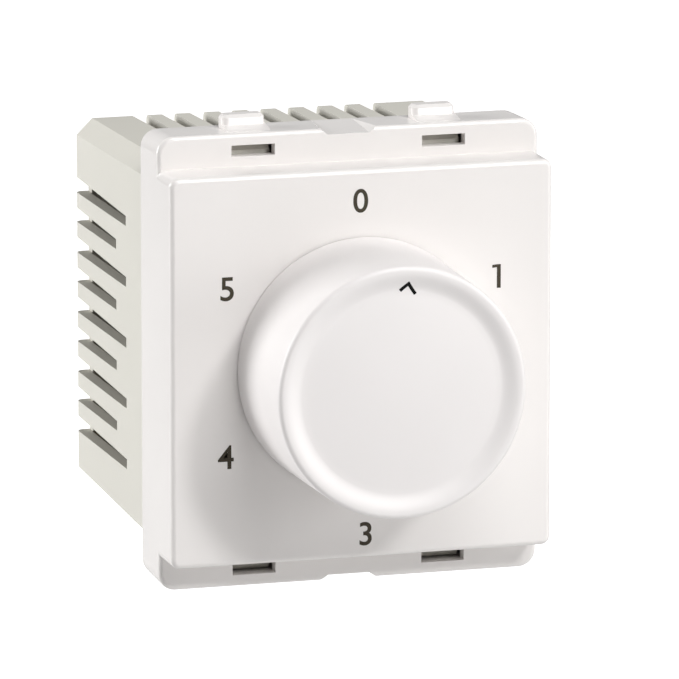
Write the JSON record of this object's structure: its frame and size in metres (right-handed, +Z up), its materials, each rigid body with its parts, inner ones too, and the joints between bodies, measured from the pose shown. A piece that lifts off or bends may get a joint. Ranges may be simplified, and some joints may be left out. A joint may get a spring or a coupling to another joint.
{
  "type": "fan speed control",
  "caption": "Two-module wall fan speed control: a white square panel with a round stepped knob, numerals around it, a snap-in flange and a slotted rear housing.",
  "frame": {"origin": "on the knob's axis, in the plane of the front cover's back rim", "axes": "+Z up, +X to the right seen from the front, +Y into the wall along the knob's axis"},
  "size_m": [0.045, 0.0602, 0.054],
  "materials": {
    "white_plastic": "satin, moulded",
    "knob_plastic": "polished, moulded",
    "shaft_plastic": "moulded",
    "switch_plastic": "moulded",
    "carrier_plastic": "moulded",
    "spring_steel": "bright",
    "plated_steel": "zinc plated",
    "contact_brass": "bright",
    "board_laminate": "pressed paper laminate",
    "capacitor_case": "moulded case",
    "resistor_body": "lacquered"
  },
  "bodies": {
    "frame": {"front_cover": "white_plastic", "rear_housing": "white_plastic", "detent_spring": "spring_steel", "switch_cap": "switch_plastic", "switch_base": "switch_plastic", "common_contact": "contact_brass", "circuit_board": "board_laminate", "switch_rivet_1": "plated_steel", "switch_rivet_2": "plated_steel", "large_capacitor": "capacitor_case", "medium_capacitor": "capacitor_case", "small_capacitor": "capacitor_case", "line_terminal": "contact_brass", "fan_terminal": "contact_brass", "board_screw_left": "plated_steel", "board_screw_right": "plated_steel", "speed_contact_1": "contact_brass", "speed_contact_2": "contact_brass", "speed_contact_3": "contact_brass", "speed_contact_4": "contact_brass", "speed_contact_5": "contact_brass", "surge_resistor_1": "resistor_body", "surge_resistor_2": "resistor_body", "bleed_resistor_1": "resistor_body", "bleed_resistor_2": "resistor_body"},
    "rotor": {"knob": "knob_plastic", "knob_clip": "spring_steel", "switch_shaft": "shaft_plastic", "shaft_circlip": "spring_steel", "detent_wheel": "carrier_plastic", "contact_carrier": "carrier_plastic", "wiper_contact": "contact_brass"},
    "line_clamp": {"line_clamp_plate": "plated_steel"},
    "line_screw": {"line_clamp_screw": "plated_steel"},
    "fan_clamp": {"fan_clamp_plate": "plated_steel"},
    "fan_screw": {"fan_clamp_screw": "plated_steel"}
  },
  "joints": [
    {"name": "knob_turn", "type": "hinge", "parent": "frame", "child": "rotor", "pos_m": [0, 0, 0], "axis": [0, 1, 0], "range_deg": [0, 300], "deforming": ["detent_spring"]},
    {"name": "line_plate_slide", "type": "slide", "parent": "frame", "child": "line_clamp", "axis": [0, -1, 0], "range_m": [0, 0.0028]},
    {"name": "line_screw_turn", "type": "hinge", "parent": "line_clamp", "child": "line_screw", "pos_m": [-0.011, 0.0277, -0.0162], "axis": [0, -1, 0], "range_deg": [0, 1441]},
    {"name": "fan_plate_slide", "type": "slide", "parent": "frame", "child": "fan_clamp", "axis": [0, -1, 0], "range_m": [0, 0.0028]},
    {"name": "fan_screw_turn", "type": "hinge", "parent": "fan_clamp", "child": "fan_screw", "pos_m": [0.011, 0.0277, -0.0162], "axis": [0, -1, 0], "range_deg": [0, 1441]}
  ],
  "couplings": [
    {"joint": "line_screw_turn", "follows": "line_plate_slide", "rad_per_m": 8975.9},
    {"joint": "fan_screw_turn", "follows": "fan_plate_slide", "rad_per_m": 8975.9}
  ]
}
